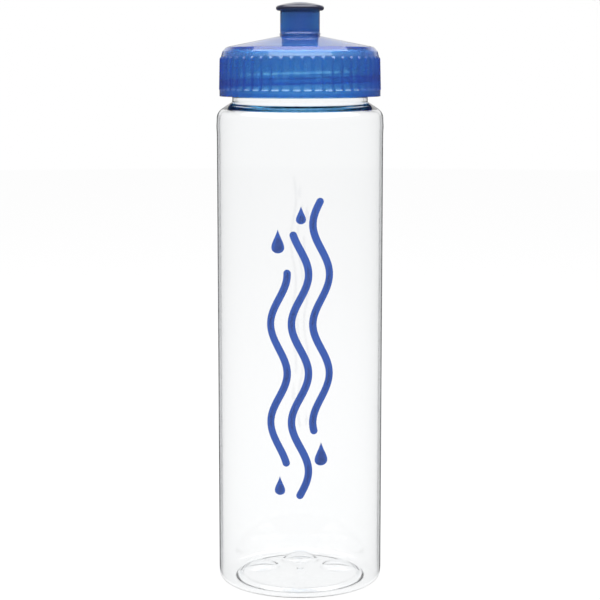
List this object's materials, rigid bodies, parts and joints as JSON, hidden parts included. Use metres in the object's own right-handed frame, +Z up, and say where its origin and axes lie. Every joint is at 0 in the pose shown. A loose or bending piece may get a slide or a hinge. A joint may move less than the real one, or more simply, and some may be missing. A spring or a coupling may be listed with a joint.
{
  "type": "sports squeeze bottle",
  "caption": "Tall clear cylindrical drinking bottle with a ribbed translucent blue screw lid and a push-pull spout with a dark soft tip.",
  "frame": {"origin": "centre of the standing ring, on the bottle's axis, at the plane the bottle stands on", "axes": "+Z up along the bottle's axis to the spout, -Y towards the printed front, +X to the viewer's right"},
  "size_m": [0.0724, 0.0724, 0.2539],
  "materials": {
    "clear_plastic": "clear glossy blown plastic",
    "blue_plastic": "translucent glossy moulded plastic",
    "seal_rubber": "soft matte silicone",
    "tip_rubber": "soft satin near-black elastomer"
  },
  "bodies": {
    "bottle": {"bottle_shell": "clear_plastic"},
    "seal": {"lid_gasket": "seal_rubber"},
    "lid": {"screw_lid": "blue_plastic"},
    "spout": {"spout_sleeve": "blue_plastic", "soft_tip": "tip_rubber"}
  },
  "joints": [
    {"name": "lid_lift", "type": "slide", "parent": "bottle", "child": "seal", "axis": [0, 0, 1], "range_m": [0, 0.0201]},
    {"name": "lid_turn", "type": "hinge", "parent": "seal", "child": "lid", "pos_m": [0, 0, 0.2238], "axis": [0, 0, 1], "range_deg": [0, 1440]},
    {"name": "spout_pull", "type": "slide", "parent": "lid", "child": "spout", "axis": [0, 0, 1], "range_m": [0, 0.0055]}
  ],
  "couplings": [
    {"joint": "lid_lift", "follows": "lid_turn", "m_per_rad": 0.00079577}
  ]
}
